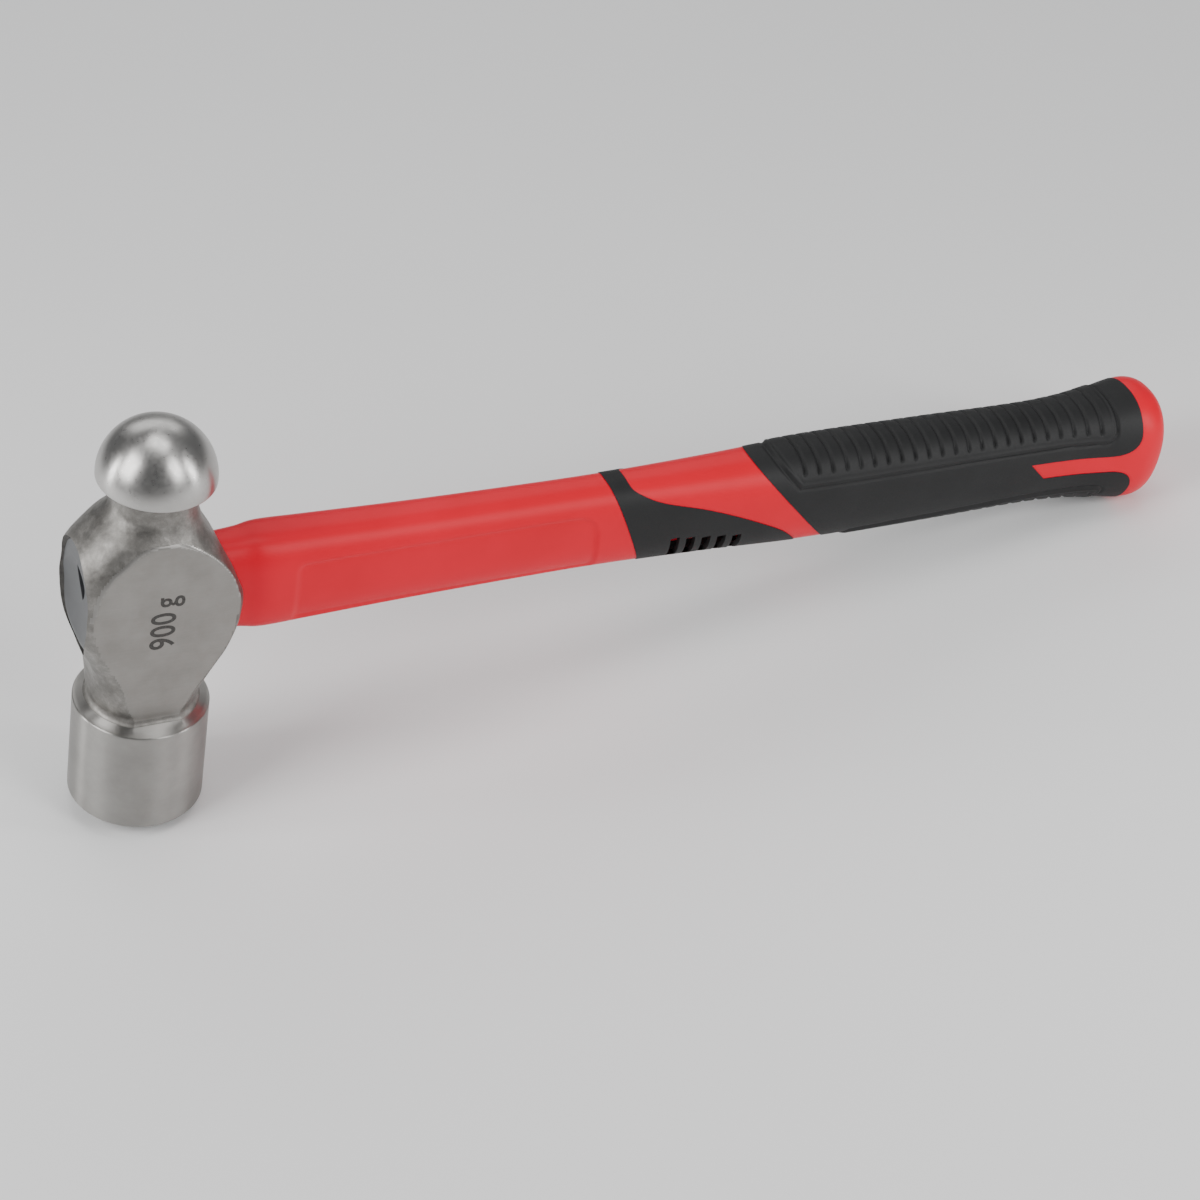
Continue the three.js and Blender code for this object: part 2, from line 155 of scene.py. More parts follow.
# Resin
RESIN_FACE = -21.6
RESIN_BACK = 12.4
RESIN_DISH_RADIUS = 44
RESIN_DISH_DEPTH = 2.1
SLOT_LENGTH = 13.5
SLOT_WIDTH = 5.2
SLOT_HEIGHT = 6.8
CORE_START = -13.5
RESIN_STEPS = 121
RESIN_REACH = (20, 27)
RESIN_SETBACK = 1.0
RESIN_BLEND = 0.8
RESIN_GAP = 0.12

# Handle: place along it, half height, half thickness, squareness
HANDLE = np.array([
    [12.7, 15.5, 9.0, 2.4],
    [20.7, 15.7, 9.1, 2.6],
    [26.9, 16.0, 9.3, 2.8],
    [31.0, 16.6, 10.1, 2.8],
    [35.2, 16.7, 10.4, 2.8],
    [46.6, 16.4, 10.1, 2.8],
    [77.6, 15.5, 9.6, 2.8],
    [109.7, 15.1, 9.4, 2.7],
    [142.8, 15.0, 9.5, 2.6],
    [178.0, 15.5, 10.9, 2.5],
    [214.2, 16.8, 12.5, 2.4],
    [258.8, 16.7, 12.5, 2.4],
    [295.0, 16.2, 12.3, 2.4],
    [310.5, 16.8, 12.8, 2.4],
    [320.8, 18.0, 14.0, 2.4],
    [331.2, 19.8, 15.7, 2.4],
    [336.4, 20.3, 16.2, 2.4],
    [340.5, 19.4, 15.4, 2.4],
    [342.9, 17.6, 13.9, 2.3],
    [344.1, 15.1, 11.8, 2.2],
    [344.3, 11.4, 8.7, 2.1],
])
HANDLE_END = 344.3
HANDLE_COLUMNS = 176

# Sunk panel: start, end, top and bottom, then the slant of its end, its corners and its wall
PANEL = (41.4, 138.7, 8.8, -13.5)
PANEL_DEPTH = 0.8
PANEL_SLANT = 0.10
PANEL_CORNERS = (7.0, 3.0)
PANEL_WALL = (-0.1, 1.3)

# Rubber on the handle
RUBBER_PROUD = 0.2
RUBBER_DEPTH = 1.5
RUBBER_GAP = 0.3
RUBBER_WALL = (0.15, 1.3)
INNER_STEP = 1.5
INNER_COLUMNS = 96
COLLAR_FRONT = ((142.2, 17.6), (157.6, -17.6))
COLLAR_REAR = np.array([
    [149.4, 17.6], [150.0, 14.5], [153.2, 12.4], [160.5, 9.4], [176.0, 5.2],
    [191.5, -0.8], [203.9, -7.2], [211.1, -14.5], [212.2, -17.6],
])
VENTS = 5
VENT_PITCH = 5.4
VENT_FIRST = (166.3, -8.5)
VENT_SIZE = (3.0, 9.3)
VENT_LEAN = -0.12
VENT_DROP = 0.5
POCKET_DEPTH = 2.2
POCKET_FRONT = 3
POCKET_REAR = 2
POCKET_TOP = -5.2
GRIP_FRONT = ((187.3, 21.7), (227.7, -21.7))
GRIP_REAR = 332.9
STRIPE_TOP = 3.9
STRIPE_BOTTOM = -2.3
STRIPE_TIP = 292.9
STRIPE_SLANT = 6.2
STRIPE_FILLET = 8.3
PAD_FRONT = 201.0
PAD_REAR = 324.0
PAD_EDGE = 8.6
PAD_HEIGHT = 0.6
PAD_EDGE_RAMP = 0.9

# Grooves along the pads' edges: place inside the edge, depth and width
PAD_GROOVE = (-0.35, 0.38, 0.38)
PAD_LINE = (1.7, 0.14, 0.35)

# Grooves across the pads
RIB_FIRST = 208.4
RIB_PITCH = 4.99
RIBS = 23
RIB_END = 12.2
RIB_END_DROP = 0.8
RIB_FADE = 0.5
RIB_WIDTH = 0.5
RIB_DEPTH = 0.5
RIB_DIMPLE = 0.3
RIB_DIMPLE_PLACE = 0.8
RIB_DIMPLE_WIDTH = 1.0
LOWER_RIB_LEAN = 0.9
LOWER_RIB_WIDTH = 0.55
LOWER_RIB_INSET = (2.2, 3.4)

# Weight mark, as places on the near cheek
MARK_X = 0.2
MARK_Z = -1.0
MARK_SIZE = 10.4
MARK_THICKNESS = 0.04
MARK_BOLDNESS = 0.13
MARK_NARROWING = 0.84

# Camera, in the hammer's axes
CAMERA_PLACE = (-239.86, -642.05, 551.53)
CAMERA_RIGHT = (0.89949, -0.41136, 0.14730)
CAMERA_FORWARD = (0.40912, 0.67454, -0.61450)
CAMERA_LENS = 90.95
CAMERA_SENSOR = 36

# Surroundings, in metres
FLOOR_HALF = 4
FLOOR_CELLS = 16
FLOOR_GAP = 0.0002
WORLD_COLOUR = (0.96, 0.98, 1.0, 1)
WORLD_STRENGTH = 0.16


# ---------------------------------------------------------------- numbers and outlines

def table_at(table, places):
    """Rows of a table at any places, on a smooth curve through the rows."""
    places = np.atleast_1d(np.asarray(places, float))
    rows = np.clip(np.searchsorted(table[:, 0], places, side="right") - 1, 0, len(table) - 2)
    a, b = table[rows], table[rows + 1]
    before = table[np.maximum(rows - 1, 0)]
    after = table[np.minimum(rows + 2, len(table) - 1)]
    span = (b[:, 0] - a[:, 0])[:, None]
    t = np.clip((places - a[:, 0])[:, None] / span, 0, 1)
    rise = (b - before) / (b[:, :1] - before[:, :1]) * span
    fall = (after - a) / (after[:, :1] - a[:, :1]) * span
    t2, t3 = t * t, t * t * t
    return (a * (2 * t3 - 3 * t2 + 1) + b * (3 * t2 - 2 * t3)
            + rise * (t3 - 2 * t2 + t) + fall * (t3 - t2))


def soft_min(a, b, width):
    h = np.clip(0.5 + 0.5 * (b - a) / width, 0, 1)
    return b * (1 - h) + a * h - width * h * (1 - h)


def soft_max(a, b, width):
    return -soft_min(-a, -b, width)


def ramp(low, high, value):
    t = np.clip((value - low) / (high - low), 0, 1)
    return t * t * (3 - 2 * t)


def hump(value, width):
    return np.exp(-(value / width) ** 2)


def spline(points, steps=10):
    """A smooth open line through the points."""
    p = np.vstack([2 * points[0] - points[1], points, 2 * points[-1] - points[-2]])
    out = []
    for k in range(1, len(p) - 2):
        for t in np.arange(steps) / steps:
            out.append(0.5 * (2 * p[k] + (p[k + 1] - p[k - 1]) * t
                              + (2 * p[k - 1] - 5 * p[k] + 4 * p[k + 1] - p[k + 2]) * t ** 2
                              + (3 * p[k] - p[k - 1] - 3 * p[k + 1] + p[k + 2]) * t ** 3))
    return np.array(out + [points[-1]])


def bend(a, b, c, steps=10):
    """A quadratic curve from a to c, pulled towards b."""
    t = np.linspace(0, 1, steps + 1)[:, None]
    return (1 - t) ** 2 * np.array(a) + 2 * t * (1 - t) * np.array(b) + t ** 2 * np.array(c)


def collar_outline():
    return np.vstack([COLLAR_FRONT[0], COLLAR_FRONT[1], spline(COLLAR_REAR)[::-1]])


def grip_outline():
    rear, tip, fillet = GRIP_REAR, STRIPE_TIP, STRIPE_FILLET
    top, bottom = STRIPE_TOP, STRIPE_BOTTOM
    return np.vstack([
        GRIP_FRONT[0], GRIP_FRONT[1], (rear, -25),
        bend((rear, bottom - fillet), (rear, bottom), (rear - fillet, bottom)),
        (tip + STRIPE_SLANT, bottom), (tip, top),
        bend((rear - 1.4 * fillet, top), (rear, top), (rear, top + fillet)),
        (rear, 25), (GRIP_FRONT[0][0], 25),
    ])


def upper_pad():
    return np.vstack([
        (PAD_FRONT - 9, 26), (PAD_FRONT - 0.5, 15.4), (PAD_FRONT + 5.8, PAD_EDGE),
        bend((PAD_REAR - 5, PAD_EDGE), (PAD_REAR, PAD_EDGE), (PAD_REAR, PAD_EDGE + 5)),
        (PAD_REAR, 26),
    ])


def lower_pad():
    return np.vstack([
        (PAD_FRONT + 22, -26), (PAD_FRONT + 29, -12.4),
        bend((PAD_REAR - 4, -8.6), (PAD_REAR, -8.6), (PAD_REAR, -12)),
        (PAD_REAR - 8, -26),
    ])


def depth_inside(outline, x, z):
    """How far inside a closed outline each point is, negative outside."""
    p = np.stack([np.asarray(x, float).ravel(), np.asarray(z, float).ravel()], 1)
    best = np.full(len(p), 1e18)
    inside = np.zeros(len(p), bool)
    for a, b in zip(outline, np.roll(outline, -1, 0)):
        edge, to = b - a, p - a
        t = np.clip(to @ edge / (edge @ edge + 1e-12), 0, 1)
        best = np.minimum(best, ((to - t[:, None] * edge) ** 2).sum(1))
        crosses = (a[1] > p[:, 1]) != (b[1] > p[:, 1])
        if b[1] != a[1]:
            inside ^= crosses & (p[:, 0] < edge[0] * (p[:, 1] - a[1]) / edge[1] + a[0])
    depth = np.sqrt(best) * np.where(inside, 1, -1)
    return depth.reshape(np.shape(x))


# ---------------------------------------------------------------- meshes

def mesh_object(name, points, faces):
    mesh = bpy.data.meshes.new(name)
    mesh.from_pydata((np.asarray(points) * MM).tolist(), [], faces)
    mesh.validate()
    made = bpy.data.objects.new(name, mesh)
    bpy.context.scene.collection.objects.link(made)
    return made


def skin(name, rings):
    """A closed skin over rings of equal length, capped at both ends."""
    rings = np.asarray(rings, float)
    rows, count = rings.shape[:2]
    here = np.arange(rows * count).reshape(rows, count)
    after = np.roll(here, -1, 1)
    quads = np.stack([here[:-1], after[:-1], after[1:], here[1:]], -1).reshape(-1, 4)
    caps = [here[0][::-1].tolist(), here[-1].tolist()]
    points = rings.reshape(-1, 3)
    a, b, c = points[quads[:, 0]], points[quads[:, 1]], points[quads[:, 2]]
    centre = points.mean(0)
    facing_out = np.einsum("ij,ij->i", np.cross(b - a, c - a), (a + c) / 2 - centre).sum() > 0
    faces = quads.tolist() + caps
    if not facing_out:
        faces = [f[::-1] for f in faces]
    return mesh_object(name, points, faces)


def prism(name, outline, low=-40, high=40):
    """A flat outline in X and Z, carried from side to side."""
    return skin(name, [[(x, y, z) for x, z in outline] for y in (low, high)])


def combine(made, tool, operation):
    """Cuts, joins or intersects made with tool, and uses tool up."""
    step = made.modifiers.new("combine", "BOOLEAN")
    step.operation = operation
    step.solver = "MANIFOLD"
    step.object = tool
    graph = bpy.context.evaluated_depsgraph_get()
    result = bpy.data.meshes.new_from_object(made.evaluated_get(graph))
    made.modifiers.clear()
    made.data = result
    bpy.data.objects.remove(tool)
    return made


def oval(angles, half_thick, half_tall, power):
    c, s = np.cos(angles), np.sin(angles)
    reach = (np.abs(c) ** power + np.abs(s) ** power) ** (-1 / power)
    return half_thick * c * reach, half_tall * s * reach


# ---------------------------------------------------------------- head

def body_radius(angles, z):
    """Distance from the head axis to the forged body's skin."""
    row = table_at(BODY, z)[0]
    c, s = np.cos(angles), np.sin(angles)
    toward = c > 0
    reach = np.where(toward, row[4], row[1])
    half = np.where(toward, row[5], row[2])
    power = np.where(toward, row[6], row[3])
    radius = (np.abs(c / reach) ** power + np.abs(s / half) ** power) ** (-1 / power)
    side = np.maximum(np.abs(s), 1e-3)
    radius = soft_min(radius, cheek_limit(z) / side, CHEEK_BLEND)
    radius = soft_min(radius, saddle_limit(z) / side, SADDLE_BLEND)
    if z > NECK_START:
        neck = NECK_RADIUS + NECK_FLARE * ramp(36, 40, z)
        neck -= NECK_WAIST * (1 - ramp(NECK_START, 34, z))
        radius = soft_max(radius, neck, NECK_BLEND)
    if z < CHEEK_END:
        radius = np.maximum(radius, np.minimum(shoulder_fillet(z), cheek_limit(z) / side))
    return radius


def cheek_limit(z):
    """How far out the flat cheeks let the body reach."""
    below = CHEEK_END - z
    if below <= 0:
        return CHEEK
    return CHEEK + FOOT_FILLET - math.sqrt(max(FOOT_FILLET ** 2 - below ** 2, 0.04))


def saddle_limit(z):
    """How far out the hollow below the ball lets the body reach."""
    rise = abs(z - SADDLE_HEIGHT)
    if rise >= SADDLE_RADIUS or z < 20:
        return NO_LIMIT
    return SADDLE_DEPTH + SADDLE_RADIUS - math.sqrt(SADDLE_RADIUS ** 2 - rise ** 2)


def shoulder_fillet(z):
    """Radius of the curve that runs out to the striking end's shoulder."""
    below = CHEEK_END - z
    if below <= 0:
        return FOOT_RADIUS
    return FOOT_RADIUS + FOOT_FILLET - math.sqrt(max(FOOT_FILLET ** 2 - below ** 2, 0))


def turned_arc(radius_centre, z_centre, radius, start, end, steps):
    """Radius and height along an arc of the turned outline, in degrees."""
    angles = np.radians(np.linspace(start, end, steps + 1))
    return [(radius_centre + radius * math.cos(a), z_centre + radius * math.sin(a)) for a in angles]


def head_rings():
    """Rings down the head axis: turned ball, forged body, turned striking end."""
    angles = 2 * np.pi * np.arange(HEAD_COLUMNS) / HEAD_COLUMNS
    around = np.ones(HEAD_COLUMNS)
    skirt = BALL_CENTRE - BALL_SKIRT
    under = skirt - BALL_EDGE
    top = turned_arc(0, BALL_CENTRE, BALL_RADIUS, 89, 0, 80)
    top += turned_arc(BALL_RADIUS - BALL_EDGE, skirt, BALL_EDGE, 0, -90, 8)
    top += [(r, under) for r in (15.8, 15.0, UNDERCUT_RADIUS)]
    top += turned_arc(UNDERCUT_RADIUS, under - UNDERCUT_FILLET, UNDERCUT_FILLET, 90, 180, 6)
    rows = [(z, around * r) for r, z in top]
    for z in np.arange(under - 1.8, BODY_LOWEST, -BODY_STEP):
        rows.append((z, body_radius(angles, z)))
    shoulder = POLL_SHOULDER - SHOULDER_EDGE
    low = [(18.9, POLL_SHOULDER + 0.6)]
    low += turned_arc(POLL_RADIUS - SHOULDER_EDGE, shoulder, SHOULDER_EDGE, 90, 0, 6)
    low += [(POLL_RADIUS, z) for z in np.linspace(shoulder, POLL_FACE + FACE_BEVEL, 40)[1:-1]]
    low += turned_arc(POLL_RADIUS - FACE_BEVEL, POLL_FACE + FACE_BEVEL, FACE_BEVEL, 0, -90, 8)
    low += [(r, POLL_FACE) for r in (15, 10, 5, 1)]
    rows += [(z, around * r) for r, z in low]
    rings = [np.stack([r * np.cos(angles), r * np.sin(angles), around * z], 1) for z, r in rows]
    return [forged_relief(ring) for ring in rings]


def eye_cutter(name, shrink=0.0):
    angles = 2 * np.pi * np.arange(EYE_COLUMNS) / EYE_COLUMNS
    rings = []
    for x, half, height in (EYE_WIDE, EYE_NARROW):
        y, z = oval(angles, half - shrink, height - shrink, EYE_POWER)
        rings.append(np.stack([np.full(EYE_COLUMNS, x), y, z], 1))
    made = skin(name, rings)
    return combine(made, mouth_cutter(name + "_mouth", shrink), "UNION")


def mouth_cutter(name, shrink):
    angles = 2 * np.pi * np.arange(MOUTH_COLUMNS) / MOUTH_COLUMNS
    s = np.sin(angles)
    rings = []
    for x, half, top, bottom in (MOUTH_RIM, MOUTH_DEPTH):
        width = (half - shrink) * np.where(s < 0, 1 - MOUTH_NARROWING * s * s, 1)
        tall = np.where(s > 0, top, bottom) - shrink
        y, z = oval(angles, width, tall, MOUTH_POWER)
        rings.append(np.stack([np.full(MOUTH_COLUMNS, x), y, z + MOUTH_CENTRE], 1))
    return skin(name, rings)


def forged_relief(ring):
    """Slight unevenness of the forging between the ball and the striking end."""
    z = ring[0][2]
    lowest, highest = RELIEF_RANGE
    fade = min(1, (z - lowest) / RELIEF_FADE, (highest - z) / RELIEF_FADE)
    if fade <= 0:
        return ring
    coarse = np.array([noise.noise(Vector(p) * RELIEF_COARSE) for p in ring])
    fine = np.array([noise.noise(Vector(p) * RELIEF_FINE) for p in ring])
    rise = coarse + RELIEF_FINE_SHARE * fine
    rise *= RELIEF_HEIGHT * fade * ramp(0.2, 1.0, CHEEK - np.abs(ring[:, 1]))
    scale = 1 + rise / np.hypot(ring[:, 0], ring[:, 1])
    return ring * np.stack([scale, scale, np.ones(len(ring))], 1)


def make_head():
    made = skin("hammer_head_finished", head_rings())
    combine(made, eye_cutter("eye"), "DIFFERENCE")
    assign_by_face(made, [polished, forged, ground, turned, eye_shade], head_zone)
    return made


def head_zone(centre, normal):
    """Which finish a face of the head has; the eye's inner walls get painted shade and a strip of
    the cheeks' edges a painted highlight.
    """
    _, y, z = centre
    flat = abs(normal[1])
    inward = y * normal[1] + (z - MOUTH_CENTRE) * normal[2]
    by_eye = all(abs(place) < limit for place, limit in zip(centre, EYE_SHADE_ZONE))
    # Painted shade: the eye's inner walls get a dark colour in place of their shadow
    if by_eye and inward < 0 and flat < EYE_SHADE_MOST_FLAT:
        return PAINTED_EYE_SHADE
    if z > POLISHED_ABOVE:
        return POLISHED
    if z < TURNED_BELOW:
        return TURNED
    if abs(y) > CHEEK - GROUND_BAND and flat > GROUND_FLATNESS:
        return GROUND
    # Painted highlight: the lighter turned steel on a strip of the cheek's edge, where light catches
    # it
    if abs(y) > CHEEK - HIGHLIGHT_BAND and flat > HIGHLIGHT_FLATNESS and HIGHLIGHT_HEIGHTS[0] < z < HIGHLIGHT_HEIGHTS[1]:
        return TURNED
    return FORGED


# ---------------------------------------------------------------- resin

def make_resin():
    """The resin in the eye's mouth, dished, with its slot."""
    steps = RESIN_STEPS
    wide, tall = RESIN_REACH
    y, z = np.meshgrid(np.linspace(-wide, wide, steps), np.linspace(-tall, tall, steps))
    along = RESIN_FACE + RESIN_DISH_DEPTH - RESIN_DISH_RADIUS
    dish = along + np.sqrt(np.maximum(RESIN_DISH_RADIUS ** 2 - y ** 2 - z ** 2, 1))
    dish = np.maximum(dish, RESIN_FACE)
    away = np.zeros_like(y)
    for i, height in enumerate(z[:, 0]):
        row = table_at(BODY, height)[0]
        share = np.clip(1 - np.abs(y[i] / row[2]) ** row[3], 0, 1)
        away[i] = -row[1] * share ** (1 / row[3])
    front = soft_max(dish, away + RESIN_SETBACK, RESIN_BLEND)
    points = np.vstack([
        np.stack([front, y, z], -1).reshape(-1, 3),
        np.stack([np.full_like(y, RESIN_BACK), y, z], -1).reshape(-1, 3),
    ])
    grid = np.arange(steps * steps).reshape(steps, steps)
    quads = np.stack([grid[:-1, :-1], grid[1:, :-1], grid[1:, 1:], grid[:-1, 1:]], -1).reshape(-1, 4)
    back = (quads + steps * steps)[:, ::-1]
    edge = np.concatenate([grid[0, :-1], grid[:-1, -1], grid[-1, :0:-1], grid[:0:-1, 0]])
    after = np.roll(edge, -1)
    walls = np.stack([edge, after, after + steps * steps, edge + steps * steps], -1)
    made = mesh_object("eye_resin_finished", points, np.vstack([quads, back, walls]).tolist())
    outward(made)
    combine(made, eye_cutter("resin_eye", RESIN_GAP), "INTERSECT")
    half = SLOT_LENGTH / 2
    lens = np.vstack([
        bend((0, -half), (SLOT_WIDTH, 0), (0, half), 16)[:-1],
        bend((0, half), (-SLOT_WIDTH, 0), (0, -half), 16)[:-1],
    ])
    slot = skin("slot", [[(x, p, q + SLOT_HEIGHT) for p, q in lens] for x in (-30, CORE_START)])
    combine(made, slot, "DIFFERENCE")
    return made


def outward(made):
    """Turns a closed mesh's faces to point out."""
    edit = bmesh.new()
    edit.from_mesh(made.data)
    bmesh.ops.recalc_face_normals(edit, faces=edit.faces)
    edit.to_mesh(made.data)
    edit.free()


# ---------------------------------------------------------------- handle

def handle_rings(places, offset, columns=HANDLE_COLUMNS):
    """Rings round the handle, each point moved off its skin by offset(x, y, z)."""
    angles = 2 * np.pi * np.arange(columns) / columns
    rows = table_at(HANDLE, places)
    rings = []
    for place, (_, tall, thick, power) in zip(places, rows):
        y, z = oval(angles, thick, tall, power)
        ny = np.sign(y) * np.abs(y / thick) ** (power - 1) / thick
        nz = np.sign(z) * np.abs(z / tall) ** (power - 1) / tall
        length = np.hypot(ny, nz)
        x = np.full(columns, place)
        move = offset(x, y, z) if callable(offset) else offset
        rings.append(np.stack([x, y + ny / length * move, z + nz / length * move], 1))
    return rings


def panel_relief(x, z):
    """Depth of the sunk panel on each side of the jacket."""
    start, end, top, bottom = PANEL
    wide, tight = PANEL_CORNERS
    rear = end - PANEL_SLANT * (z - top)
    upper = soft_min(rear - x, top - z, wide)
    lower = soft_min(x - start, z - bottom, tight)
    return -PANEL_DEPTH * ramp(*PANEL_WALL, soft_min(upper, lower, tight))


def jacket_relief(x, _, z):
    """How far the jacket sinks: the panel, the rubber's bed and the pocket behind the vents."""
    under = np.maximum(depth_inside(collar_outline(), x, z), depth_inside(grip_outline(), x, z))
    first = VENT_FIRST[0] - POCKET_FRONT
    last = first + VENTS * VENT_PITCH + POCKET_REAR
    pocket = np.minimum(np.minimum(x - first, last - x), POCKET_TOP - z)
    return (panel_relief(x, z) - (RUBBER_DEPTH + RUBBER_GAP) * ramp(*RUBBER_WALL, under)
            - POCKET_DEPTH * ramp(0, 1.0, pocket) * ramp(0.5, 1.5, under))


def make_jacket():
    """The jacket, with rings closer together where rubber meets it and at its end."""
    places = np.concatenate([
        np.arange(12.7, 46, 1.0), np.arange(46, 136, 1.5), np.arange(136, 336, 0.6),
        np.arange(336, 342, 0.5), np.arange(342, 344.3, 0.15), [HANDLE_END],
    ])
    return skin("handle_jacket_finished", handle_rings(places, jacket_relief))


def shell(name, start, end, step, relief, outline, columns):
    """A rubber shell over the handle, cut to an outline."""
    places = np.arange(start, end + step, step)
    made = skin(name, handle_rings(places, relief, columns))
    combine(made, prism("outline", outline), "INTERSECT")
    bed = handle_rings(np.arange(start - 3, end + 4, INNER_STEP), -RUBBER_DEPTH, INNER_COLUMNS)
    inner = skin("inner", bed)
    return combine(made, inner, "DIFFERENCE")


def vent(index):
    """Corners of one vent, seen from the side."""
    width, length = VENT_SIZE
    x, z = VENT_FIRST[0] + index * VENT_PITCH, VENT_FIRST[1] - VENT_DROP * index
    c, s = math.cos(VENT_LEAN), math.sin(VENT_LEAN)
    corners = [(-width / 2, -length / 2), (width / 2, -length / 2),
               (width / 2, length / 2), (-width / 2, length / 2)]
    return [(x + c * a + s * b, z - s * a + c * b) for a, b in corners]


def make_collar():
    made = shell("front_collar_finished", start=138, end=216, step=0.8, relief=RUBBER_PROUD,
                 outline=collar_outline(), columns=144)
    for index in range(VENTS):
        for low, high in ((-30, -3), (3, 30)):
            combine(made, prism("vent", vent(index), low, high), "DIFFERENCE")
    return made


def grip_relief(x, _, z):
    """How far the grip stands off the handle, with its pads and grooves."""
    high = depth_inside(upper_pad(), x, z)
    low = depth_inside(lower_pad(), x, z)
    move = RUBBER_PROUD + PAD_HEIGHT * (ramp(0, PAD_EDGE_RAMP, high) + ramp(0, PAD_EDGE_RAMP, low))
    for place, depth, width in (PAD_GROOVE, PAD_LINE):
        move -= depth * (hump(high - place, width) + hump(low - place, width))
    return move - upper_ribs(x, z) - lower_ribs(x, z, low)


def upper_ribs(x, z):
    turn = (x - RIB_FIRST) / RIB_PITCH
    nearest = np.clip(np.round(turn), 0, RIBS - 1)
    across = (turn - nearest) * RIB_PITCH
    end = RIB_END - RIB_END_DROP * (nearest / RIBS)
    cut = hump(across, RIB_WIDTH) * ramp(end - RIB_FADE, end + RIB_FADE, z)
    return cut * (RIB_DEPTH + RIB_DIMPLE * hump(z - end - RIB_DIMPLE_PLACE, RIB_DIMPLE_WIDTH))


def lower_ribs(x, z, low):
    turn = (x + LOWER_RIB_LEAN * z) / RIB_PITCH
    across = (turn - np.round(turn)) * RIB_PITCH
    return RIB_DEPTH * hump(across, LOWER_RIB_WIDTH) * ramp(*LOWER_RIB_INSET, low)


def make_grip():
    return shell("main_grip_finished", start=182, end=337, step=0.33, relief=grip_relief,
                 outline=grip_outline(), columns=224)


# ---------------------------------------------------------------- weight mark

def make_mark():
    """A plain weight in dark etched characters on the near cheek, read upwards."""
    curve = bpy.data.curves.new("weight_mark", "FONT")
    curve.body = "900 g"
    curve.size = MARK_SIZE * MM
    curve.extrude = MARK_THICKNESS * MM
    curve.offset = MARK_BOLDNESS * MM
    curve.space_character = 1.04
    curve.space_word = 0.6
    curve.align_x = "CENTER"
    curve.align_y = "CENTER"
    text = bpy.data.objects.new("weight_mark_text", curve)
    bpy.context.scene.collection.objects.link(text)
    graph = bpy.context.evaluated_depsgraph_get()
    mesh = bpy.data.meshes.new_from_object(text.evaluated_get(graph))
    bpy.data.objects.remove(text)
    stand = Matrix((
        (0, -1, 0, MARK_X * MM),
        (0, 0, -1, -CHEEK * MM),
        (1, 0, 0, MARK_Z * MM),
        (0, 0, 0, 1),
    ))
    narrow = Matrix.Diagonal((MARK_NARROWING, 1, 1, 1))
    mesh.transform(stand @ narrow)
    made = bpy.data.objects.new("weight_mark", mesh)
    bpy.context.scene.collection.objects.link(made)
    return made


# ---------------------------------------------------------------- materials

class Material:
    """A small helper for writing node materials. Noise scales are per metre, bumps in metres."""

    def __init__(self, name):
        self.material = bpy.data.materials.new(name)
        self.material.use_nodes = True
        self.nodes = self.material.node_tree.nodes
        self.links = self.material.node_tree.links
        self.shader = self.nodes["Principled BSDF"]
        self.place = self.add("ShaderNodeTexCoord").outputs["Object"]

    def add(self, kind, **values):
        node = self.nodes.new(kind)
        for key, value in values.items():
            setattr(node, key, value)
        return node

    def join(self, source, target):
        self.links.new(source, target)

    def stretched(self, scale):
        node = self.add("ShaderNodeMapping")
        node.inputs["Scale"].default_value = scale
        self.join(self.place, node.inputs["Vector"])
        return node.outputs["Vector"]

    def noise(self, scale, detail=4, rough=0.55, where=None):
        node = self.add("ShaderNodeTexNoise")
        node.inputs["Scale"].default_value = scale
        node.inputs["Detail"].default_value = detail
        node.inputs["Roughness"].default_value = rough
        self.join(where or self.place, node.inputs["Vector"])
        return node.outputs["Fac"]

    def range(self, source, low, high, out_low, out_high):
        node = self.add("ShaderNodeMapRange")
        limits = {"From Min": low, "From Max": high, "To Min": out_low, "To Max": out_high}
        for key, value in limits.items():
            node.inputs[key].default_value = value
        self.join(source, node.inputs["Value"])
        return node.outputs["Result"]

    def ramp(self, source, stops):
        node = self.add("ShaderNodeValToRGB")
        while len(node.color_ramp.elements) < len(stops):
            node.color_ramp.elements.new(0.5)
        for element, (place, colour) in zip(node.color_ramp.elements, stops):
            element.position = place
            element.color = (*colour, 1)
        self.join(source, node.inputs["Fac"])
        return node.outputs["Color"]

    def bump(self, source, strength, distance, under=None):
        node = self.add("ShaderNodeBump")
        node.inputs["Strength"].default_value = strength
        node.inputs["Distance"].default_value = distance
        self.join(source, node.inputs["Height"])
        if under is not None:
            self.join(under, node.inputs["Normal"])
        return node.outputs["Normal"]

    def set(self, **values):
        for key, value in values.items():
            socket = self.shader.inputs[key.replace("_", " ")]
            if hasattr(value, "is_output"):
                self.join(value, socket)
            else:
                socket.default_value = value
        return self

    def around(self, amount):
        """Finish marks that run round the object's Z axis, so that highlights stretch along it."""
        node = self.add("ShaderNodeTangent", direction_type="RADIAL", axis="Z")
        self.join(node.outputs["Tangent"], self.shader.inputs["Tangent"])
        return self.set(Anisotropic=amount, Anisotropic_Rotation=0.25)

    def show(self):
        return self.material


def steel_polished():
    m = Material("steel_polished")
    fine = m.noise(900, 3)
    cloud = m.noise(90, 4)
    colour = m.ramp(cloud, [(0.3, (0.44, 0.43, 0.415)), (0.7, (0.51, 0.50, 0.485))])
    rough = m.range(fine, 0.3, 0.7, 0.27, 0.35)
    m.set(Base_Color=colour, Metallic=1.0, Roughness=rough)
    m.around(0.5)
    return m.show()


